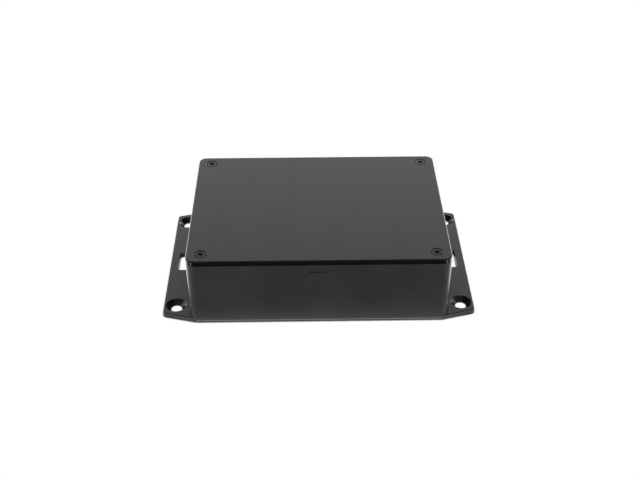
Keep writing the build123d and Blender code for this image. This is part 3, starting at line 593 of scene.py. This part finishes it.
# %% The skin over rings
def skin(name, rings, finish, body="case", joined=False, sharp=35.0):
    """Makes a piece from an array of copies, rings in a copy, points in a ring, and X, Y, Z.

    Each point and its neighbour on the ring make a four-sided face with the same two points on the
    next ring. The end rings are closed by triangles to their middle point, or if joined is set, the
    last ring is joined to the first one. The UV map runs round the ring in U and along the rings in V.
    """
    copies, count, around, _ = rings.shape
    rows = count if joined else count - 1
    row, col = np.meshgrid(np.arange(rows), np.arange(around), indexing="ij")
    next_row, next_col = (row + 1) % count, (col + 1) % around
    quads = np.stack([row * around + col, row * around + next_col,
                      next_row * around + next_col, next_row * around + col], -1).reshape(-1, 4)
    quad_uv = np.stack([np.stack([col, col + 1, col + 1, col], -1) / around,
                        np.stack([row, row, row + 1, row + 1], -1) / rows], -1).reshape(-1, 4, 2)
    points = rings.reshape(copies, count * around, 3)
    fans, fan_uv = np.empty((0, 3), int), np.empty((0, 3, 2))
    if not joined:
        points = np.concatenate([points, rings[:, :1].mean(2), rings[:, -1:].mean(2)], 1)
        here, after = np.arange(around), (np.arange(around) + 1) % around
        last = (count - 1) * around
        first_fan = np.stack([np.full(around, count * around), after, here], -1)
        last_fan = np.stack([np.full(around, count * around + 1), last + here, last + after], -1)
        fans = np.concatenate([first_fan, last_fan])
        fan_uv = np.stack([np.stack([here + 0.5, here + 1, here], -1) / around,
                           np.zeros((around, 3))], -1)
        fan_uv = np.concatenate([fan_uv, fan_uv[:, ::-1] * [1, 0] + [0, 1]])
    step = np.arange(copies)[:, None, None] * points.shape[1]
    faces = (quads + step).reshape(-1, 4).tolist() + (fans + step).reshape(-1, 3).tolist()
    mesh = bpy.data.meshes.new(name)
    mesh.from_pydata(points.reshape(-1, 3).tolist(), [], faces)
    uv = np.concatenate([np.tile(part.reshape(-1, 2), (copies, 1)) for part in (quad_uv, fan_uv)])
    mesh.uv_layers.new(name="UVMap").data.foreach_set("uv", uv.ravel())
    mesh.polygons.foreach_set("use_smooth", np.ones(len(mesh.polygons), bool))
    mesh.set_sharp_from_angle(angle=math.radians(sharp))
    mesh.materials.append(finishes[finish])
    piece = bpy.data.objects.new(name, mesh)
    bpy.context.scene.collection.objects.link(piece)
    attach(piece, body)
    print(f"{name}: {copies} copies, {len(faces)} faces")
    return piece


# %% Turned shapes, slabs and ribbons
def turned(profile, centres, around=24):
    """Rings of a turned shape: radius and height pairs carried round an upright axis at each centre."""
    radius, height = np.array(profile, float).T
    angle = np.arange(around) * tau / around
    ring = np.stack([np.outer(radius, np.cos(angle)), np.outer(radius, np.sin(angle)),
                     np.repeat(height[:, None], around, 1)], -1)
    return ring[None] + np.array(centres, float)[:, None, None, :]


def slabs(boxes, low, high):
    """Rings of flat slabs: the four corners of each X, Y box, at a low and a high level."""
    boxes = np.array(boxes, float)
    pick = np.array([[0, 0], [1, 0], [1, 1], [0, 1]])
    corner = np.stack([boxes[:, pick[:, 0], 0], boxes[:, pick[:, 1], 1]], -1)
    ring = np.repeat(corner[:, None], 2, 1)
    level = np.broadcast_to(np.array([low, high])[None, :, None, None], ring.shape[:3] + (1,))
    return np.concatenate([ring, level], -1)


def ribbons(paths, width, low, high):
    """Rings of flat ribbons along paths of X, Y points.

    At each point the ribbon's edge is half a width to the side, along the sum of the side directions
    of the two runs that meet there, divided by one plus their dot product, which is a mitre joint.
    """
    runs = np.diff(paths, axis=1)
    length = np.linalg.norm(runs, axis=2, keepdims=True)
    side = np.stack([-runs[..., 1], runs[..., 0]], -1) / np.maximum(length, 1e-9)
    before = np.concatenate([side[:, :1], side], 1)
    after = np.concatenate([side, side[:, -1:]], 1)
    mitre = (before + after) / (1 + (before * after).sum(2, keepdims=True))
    left, right = paths + mitre * width / 2, paths - mitre * width / 2
    levels = [np.full(paths.shape[:2] + (1,), level) for level in (low, high)]
    corner = [np.concatenate([edge, level], -1) for edge, level in
              ((left, levels[0]), (left, levels[1]), (right, levels[1]), (right, levels[0]))]
    return np.stack(corner, 2)


def islands(node):
    """The low and high corners of each separate solid of a node.

    Corners of triangles at one place get one number. Then each takes the lowest number among those
    that its triangles join it to, again and again, until nothing changes.
    """
    mesh = frame["nodes"][node].data
    points = np.empty(len(mesh.vertices) * 3)
    mesh.vertices.foreach_get("co", points)
    corners = np.empty(len(mesh.loops), np.int32)
    mesh.loops.foreach_get("vertex_index", corners)
    places, same = np.unique(np.round(points.reshape(-1, 3), 7), axis=0, return_inverse=True)
    triangles = same.ravel()[corners].reshape(-1, 3)
    label, settled = np.arange(len(places)), False
    while not settled:
        lowest = label.copy()
        np.minimum.at(lowest, triangles.ravel(), np.repeat(label[triangles].min(1), 3))
        settled = (lowest == label).all()
        label = lowest
    solids = [places[label == number] for number in np.unique(label)]
    return np.array([[solid.min(0), solid.max(0)] for solid in solids])


print("capacitor cans found:", len(islands("capacitor_cans")))

# %% [markdown]
# ## Lid screws
#
# Four black countersunk screws with a cross recess hold the lid. The head's face is a height field
# over a disc: it is flat, and drops by a depth inside the four arms of a cross. The thread is in the
# radius: it rises and falls in a triangle wave of height along the screw minus the part of a turn
# gone round, and a wave that shifts like that is a helix. Each screw rides on its own body, because
# each one backs out on its own.

# %% Cross-recess screws
screw_around = 128
shank_radius = 1.5 * mm
thread_pitch = 0.5 * mm
thread_depth = 0.30 * mm
thread_fade = 0.8 * mm
tip_radius = 0.95 * mm
tip_slope = 1.1
shank_rings = 190
face_rings = 44
head_gap = 0.45 * mm
recess_arm = 1.5 * mm
recess_half_width = 0.42 * mm
recess_depth = 1.7 * mm
recess_rise = 0.55
recess_wall = 0.10 * mm


def cross_depth(radius, angle):
    """How deep the recess is: most in the middle, less along an arm, and zero outside the arms."""
    x, y = np.abs(radius * np.cos(angle)), np.abs(radius * np.sin(angle))
    inside = np.clip((recess_half_width - np.minimum(x, y)) / recess_wall + 0.5, 0, 1)
    inside = inside * np.clip((recess_arm - np.maximum(x, y)) / recess_wall + 0.5, 0, 1)
    return inside * (recess_depth - recess_rise * np.maximum(x, y))


def screw_rings(low, high, turn):
    """Rings from the tip to the middle of the head, for a screw that is as long as the box.

    The cone under the head is as high as the head is wider than the shank, and a thin edge with
    rounded corners is on top of it. The head is a small gap narrower than the box on every side.
    """
    middle, length = (low + high) / 2, high[2] - low[2]
    head = (high[0] - low[0]) / 2 - head_gap
    angle = np.arange(screw_around) * tau / screw_around
    neck = length - (head - shank_radius) - 0.1 * mm
    up = np.linspace(0, neck, shank_rings)[:, None]
    phase = (up / thread_pitch - angle / tau) % 1
    # A triangle wave whose crest and root are cut flat.
    wave = np.clip(1.5 * (1 - np.abs(2 * phase - 1)) - 0.25, 0, 1)
    fade = np.clip((neck - up) / thread_fade, 0, 1)
    radius = shank_radius - thread_depth * (1 - wave) * fade
    radius = np.minimum(radius, tip_radius + tip_slope * up)
    edge = np.array([[head - 0.04 * mm, length - 0.12 * mm],
                     [head, length - 0.06 * mm],
                     [head - 0.05 * mm, length]])
    radius = np.concatenate([radius, np.repeat(edge[:, :1], screw_around, 1)])
    up = np.concatenate([np.repeat(up, screw_around, 1), np.repeat(edge[:, 1:], screw_around, 1)])
    face = np.linspace(head - 0.12 * mm, 0.03 * mm, face_rings)
    face = np.repeat(face[:, None], screw_around, 1)
    radius = np.concatenate([radius, face])
    up = np.concatenate([up, length - cross_depth(face, angle - turn)])
    x, y = middle[0] + radius * np.cos(angle), middle[1] + radius * np.sin(angle)
    return np.stack([x, y, low[2] + up], -1)[None]


screw_turns = {"front_left": 20.0, "front_right": 63.0, "back_left": 35.0, "back_right": 48.0}
for corner_name, degrees in screw_turns.items():
    low, high = np.array(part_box(f"lid_screw_{corner_name}"))
    screw = skin(f"cross_screw_{corner_name}", screw_rings(low, high, math.radians(degrees)),
                 "black_steel", body=f"{corner_name}_lid_screw", sharp=40.0)
    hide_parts(f"lid_screw_{corner_name}")

# %% [markdown]
# ## The choke's winding
#
# A choke is enamelled copper wire wound round a ring of ferrite. The solid model has plain loops. The
# wire here is one path: it goes round the ring's square section many times while it creeps most of
# the way round the ring. A circle whose sine and cosine are raised to a small power is squashed
# towards a square, so the wire lies close to the ring's faces. Both ends drop straight down to the
# board.

# %% Round wire on the choke
wire_radius = 0.46 * mm
wire_turns = 21
points_per_turn = 40
squash = 0.22
bore_radius = 5.5 * mm
winding_start = 25
winding_sweep = 310
board_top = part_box("circuit_board")[1][2]


def wire_path():
    """Middle line of the winding: a squashed circle about the section, carried round the ring."""
    low, high = np.array(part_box("choke_core"))
    middle = (low + high) / 2
    outer = (high[0] - low[0]) / 2
    half_width = (outer - bore_radius) / 2 + wire_radius
    half_height = (high[2] - low[2]) / 2 + wire_radius
    part = np.linspace(0, 1, wire_turns * points_per_turn)
    section = part * tau * wire_turns - math.pi / 4
    round_ring = np.radians(winding_start + winding_sweep * part)
    cosine, sine = np.cos(section), np.sin(section)
    out = (outer + bore_radius) / 2 + half_width * np.sign(cosine) * np.abs(cosine) ** squash
    up = middle[2] + half_height * np.sign(sine) * np.abs(sine) ** squash
    x, y = middle[0] + out * np.cos(round_ring), middle[1] + out * np.sin(round_ring)
    path = np.stack([x, y, up], -1)
    drop = np.linspace(0, 1, 6)[:, None]
    upright = np.array([0, 0, 1.0])
    lead_in = path[0] + (1 - drop[:-1]) * upright * (board_top - path[0, 2])
    lead_out = path[-1] + drop[1:] * upright * (board_top - path[-1, 2])
    return np.concatenate([lead_in, path, lead_out]), middle


def tube_rings(path, radius, reference, around=10):
    """Small circles across a path.

    One direction of the circle is the cross product of the reference and the path's run, and the
    other is the cross product of the run and the first.
    """
    run = np.gradient(path, axis=0)
    run /= np.linalg.norm(run, axis=1, keepdims=True)
    side = np.cross(reference, run)
    side /= np.maximum(np.linalg.norm(side, axis=1, keepdims=True), 1e-9)
    rise = np.cross(run, side)
    angle = np.arange(around)[None, :, None] * tau / around
    circle = np.cos(angle) * side[:, None] + np.sin(angle) * rise[:, None]
    return (path[:, None] + radius * circle)[None]


winding_path, choke_middle = wire_path()
ring_direction = winding_path - choke_middle
ring_direction = np.stack([-ring_direction[:, 1], ring_direction[:, 0], 0 * ring_direction[:, 2]], -1)
winding = skin("wound_wire", tube_rings(winding_path, wire_radius, ring_direction),
               "copper_wire", sharp=60.0)
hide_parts("choke_winding")

# %% [markdown]
# ## Electrolytic capacitors
#
# A capacitor is a drawn aluminium can, rolled in over its rubber bung near the foot, with a scored
# cross on top that lets it vent, in a shrunk plastic sleeve that curls over the top edge. The can is a
# turned shape whose top is a height field with the score in it. The sleeve is a turned shape whose
# profile is a closed loop, out up the side and back down inside, so it has a real thickness.

# %% Cans and sleeves
can_boxes = islands("capacitor_cans")
can_feet = np.stack([can_boxes[:, :, 0].mean(1), can_boxes[:, :, 1].mean(1), can_boxes[:, 0, 2]], -1)
can_height = can_boxes[0, 1, 2] - can_boxes[0, 0, 2]
side_profile = np.array([
    [5.2, 0.0], [5.9, 0.1], [5.95, 0.4], [5.95, 1.7], [5.6, 1.95], [5.45, 2.15], [5.6, 2.35],
    [5.95, 2.6], [5.95, 10.0], [5.95, 19.2], [5.85, 19.6], [5.6, 19.88], [5.2, 19.98],
]) * mm
can_around = 96
top_radius = np.linspace(5.0, 0.05, 40) * mm
top_dip = 0.12 * mm
score_half = 0.16 * mm
score_depth = 0.22 * mm
score_reach = 3.8 * mm


def can_rings():
    """The turned side, then a top that dips a little inside its rim and is scored in a cross."""
    side = turned(side_profile, can_feet, can_around)
    angle = np.arange(can_around) * tau / can_around
    x, y = top_radius[:, None] * np.cos(angle), top_radius[:, None] * np.sin(angle)
    in_arms = np.clip((score_half - np.minimum(abs(x), abs(y))) / score_half + 0.4, 0, 1)
    in_score = in_arms * (np.hypot(x, y) < score_reach)
    up = can_height - top_dip - score_depth * in_score
    top = np.stack([x, y, up], -1)[None] + can_feet[:, None, None, :]
    return np.concatenate([side, top], 1)


cans = skin("drawn_cans", can_rings(), "can_aluminium", sharp=30.0)
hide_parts("capacitor_cans")

sleeve_profile = np.array([
    [5.98, 0.25], [6.16, 0.35], [6.18, 1.6], [5.8, 1.95], [5.68, 2.15], [5.8, 2.38], [6.18, 2.75],
    [6.20, 10.0], [6.18, 19.1], [6.05, 19.66], [5.75, 19.96], [5.0, 20.02], [4.9, 19.96],
    [4.95, 19.90], [5.65, 19.90], [5.97, 19.5], [5.97, 10.0], [5.97, 2.7], [5.97, 1.0],
]) * mm
profile_height = 20.0 * mm
sleeve_profile[:, 1] *= can_height / profile_height
sleeves = skin("shrunk_sleeves", turned(sleeve_profile, can_feet, 72), "sleeve_plastic",
               joined=True, sharp=50.0)
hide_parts("capacitor_sleeves")

# %% [markdown]
# ## Copper on the board
#
# The tracks are thin ribbons under the lacquer. A board designer's track runs straight, then at 45
# degrees, then straight again, so a track only needs its two ends: the diagonal run is as long as the
# smaller of the two distances, and the rest is shared between the straight runs at its ends. Pads are
# thin slabs under flat leads and chip ends, and solder climbs the leads of the power parts and the
# ends of the choke's wire in small cones. Their places come from the solids themselves.

# %% Tracks
copper = 0.04 * mm
power_height = 0.8 * copper
signal_width = 0.26 * mm
power_width = 2.4 * mm


def routes(ends):
    """Paths of four points, from starts and ends in millimetres: straight, diagonal, straight."""
    ends = np.array(ends, float) * mm
    start, gap = ends[:, :2], ends[:, 2:] - ends[:, :2]
    diagonal = np.abs(gap).min(1, keepdims=True) * np.sign(gap)
    straight = (gap - diagonal) / 2
    return np.stack([start, start + straight, start + straight + diagonal, start + gap], 1)


def bundle(count, start, start_step, end, end_step):
    """Starts and ends of tracks side by side: both step along by their own amount each time."""
    number = np.arange(count)[:, None]
    starts = np.array(start) + number * np.array(start_step)
    ends = np.array(end) + number * np.array(end_step)
    return np.hstack([starts, ends])


signal_ends = np.vstack([
    bundle(5, (-10.2, -29.3), (0, 0.65), (-19.5, -31.0), (0, 1.3)),
    bundle(3, (-10.2, -25.9), (0, 0.65), (-15.0, -21.5), (-1.2, 0.6)),
    bundle(4, (-7.0, -21.8), (0.65, 0), (-18.2, -13.0), (1.0, 0)),
    bundle(4, (-4.2, -21.8), (0.65, 0), (-17.0, 4.8), (0.9, -0.2)),
    bundle(5, (2.2, -30.6), (0, 0.65), (6.2, -34.6), (0, 0.9)),
    bundle(3, (2.2, -27.0), (0, 0.65), (12.5, -24.0), (0, 0.8)),
    bundle(4, (-6.6, -34.2), (0.65, 0), (-28.5, -38.0), (1.2, 0.5)),
    bundle(3, (-23.5, -4.5), (0, 0.9), (-25.0, 24.5), (-1.0, 0)),
    bundle(4, (-23.8, 2.0), (0, 0.8), (-30.5, 26.5), (0.9, 0)),
    bundle(3, (-15.0, 13.0), (0, 1.0), (-8.6, 21.0), (0.8, 0)),
    bundle(3, (13.5, 8.0), (0, -1.0), (3.0, -21.8), (-0.65, 0)),
    bundle(3, (33.5, -14.5), (0, 3.0), (27.2, 4.2), (0, 1.6)),
    bundle(2, (16.0, -35.5), (0, 0.8), (30.3, -36.2), (0, 0.8)),
])
power_ends = [
    (-30.0, -4.5, -34.0, 7.0), (-41.0, -4.5, -41.5, 7.0),
    (-28.0, 19.0, -10.0, 20.5), (24.0, 7.0, 33.6, 3.0),
    (13.0, 3.6, 3.4, 18.8), (9.8, 18.8, 33.6, 11.6),
    (27.0, -16.0, 33.6, -8.0), (7.8, -10.5, 17.0, -14.5),
]
signal_tracks = ribbons(routes(signal_ends), signal_width, board_top, board_top + copper)
power_tracks = ribbons(routes(power_ends), power_width, board_top, board_top + power_height)
tracks = np.concatenate([signal_tracks, power_tracks])
skin("board_tracks", tracks, "track_lacquer")


# %% Pads, chip ends and solder
chip_end = 0.45 * mm
cap_skin = 0.03 * mm
pad_height = 1.2 * copper


def grown(boxes, by_x, by_y):
    """The X, Y part of each box, larger by by_x and by_y on each side."""
    return boxes[:, :, :2] + np.array([[-by_x, -by_y], [by_x, by_y]])


def low_boxes(node):
    """The separate solids of a node that stand on the board."""
    boxes = islands(node)
    return boxes[boxes[:, 0, 2] < board_top + 0.2 * mm]


def chip_end_boxes(node, depth):
    """Both ends of each chip along X."""
    boxes = islands(node)
    left, right = boxes.copy(), boxes.copy()
    left[:, 1, 0] = boxes[:, 0, 0] + depth
    right[:, 0, 0] = boxes[:, 1, 0] - depth
    return np.concatenate([left, right])


chip_ends = [chip_end_boxes(node, chip_end) for node in ("chip_resistors", "chip_capacitors")]
for kind, ends in zip(("resistor", "capacitor"), chip_ends):
    caps = slabs(grown(ends, cap_skin, cap_skin), board_top, ends[0, 1, 2] + cap_skin)
    skin(f"{kind}_end_caps", caps, "tinned_metal")
chip_pads = [grown(ends, by_x=0.28 * mm, by_y=0.12 * mm) for ends in chip_ends]
lead_pads = [grown(low_boxes("microcontroller_leads"), by_x=0.15 * mm, by_y=0.15 * mm),
             grown(low_boxes("shunt_resistor"), by_x=0.5 * mm, by_y=0.5 * mm),
             grown(low_boxes("voltage_regulator"), by_x=0.5 * mm, by_y=0.4 * mm)]
pad_boxes = np.concatenate(chip_pads + lead_pads)
skin("board_pads", slabs(pad_boxes, board_top, board_top + pad_height), "tinned_metal")

lead_boxes = np.concatenate([low_boxes(node) for node in ("transistor_tabs", "diode_tab")])
lead_spots = np.stack([lead_boxes[:, :, 0].mean(1), lead_boxes[:, :, 1].mean(1),
                       np.full(len(lead_boxes), board_top)], -1)
wire_ends = np.stack([winding_path[0], winding_path[-1]])
joint_profile = np.array([[1.15, 0.0], [1.10, 0.06], [0.85, 0.16],
                          [0.66, 0.34], [0.55, 0.60], [0.48, 0.80]]) * mm
joint_spots = np.concatenate([lead_spots, wire_ends * [1, 1, 0] + [0, 0, board_top]])
skin("solder_joints", turned(joint_profile, joint_spots, 20), "tinned_metal", sharp=60.0)

# %% [markdown]
# ## Printed outlines
#
# A board carries an outline in white ink round each larger part. Each outline is four thin slabs of
# ink round the part's own box, so it always fits the part. There is no lettering, only a plain dot
# beside one corner of each outline, where the part's first lead is.

# %% White outlines and dots
ink = 0.16 * mm
ink_height = 1.5 * copper
ink_gap = 0.55 * mm
dot_aside = 0.6 * mm
dot_down = 0.4 * mm


def outline_boxes(low, high):
    """Four thin boxes that frame the box from low to high."""
    (left, front), (right, back) = low, high
    return [[[left, front], [right, front + ink]], [[left, back - ink], [right, back]],
            [[left, front], [left + ink, back]], [[right - ink, front], [right, back]]]


outlined = ("terminal_housing", "fuse_holder", "relay_base", "microcontroller_leads", "radio_board",
            "crystal", "motion_sensor", "trimmer_housing", "button_housing", "header_housing",
            "shunt_resistor", "voltage_regulator", "heat_sink", "status_light")
board_low, board_high = [np.array(corner[:2]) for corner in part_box("circuit_board")]
frames, dots = [], []
for node in outlined:
    node_low, node_high = [np.array(corner[:2]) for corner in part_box(node)]
    around_low = np.maximum(node_low - ink_gap, board_low + ink)
    around_high = np.minimum(node_high + ink_gap, board_high - ink)
    frames.extend(outline_boxes(around_low, around_high))
    dots.append([around_low[0] - dot_aside, around_high[1] - dot_down, board_top])
outline_slabs = slabs(frames, board_top, board_top + ink_height)
skin("ink_outlines", outline_slabs, "white_ink")
dot_profile = np.array([[0.32, 0.0], [0.32, 0.04], [0.30, 0.05]]) * mm
skin("ink_dots", turned(dot_profile, dots, 16), "white_ink")
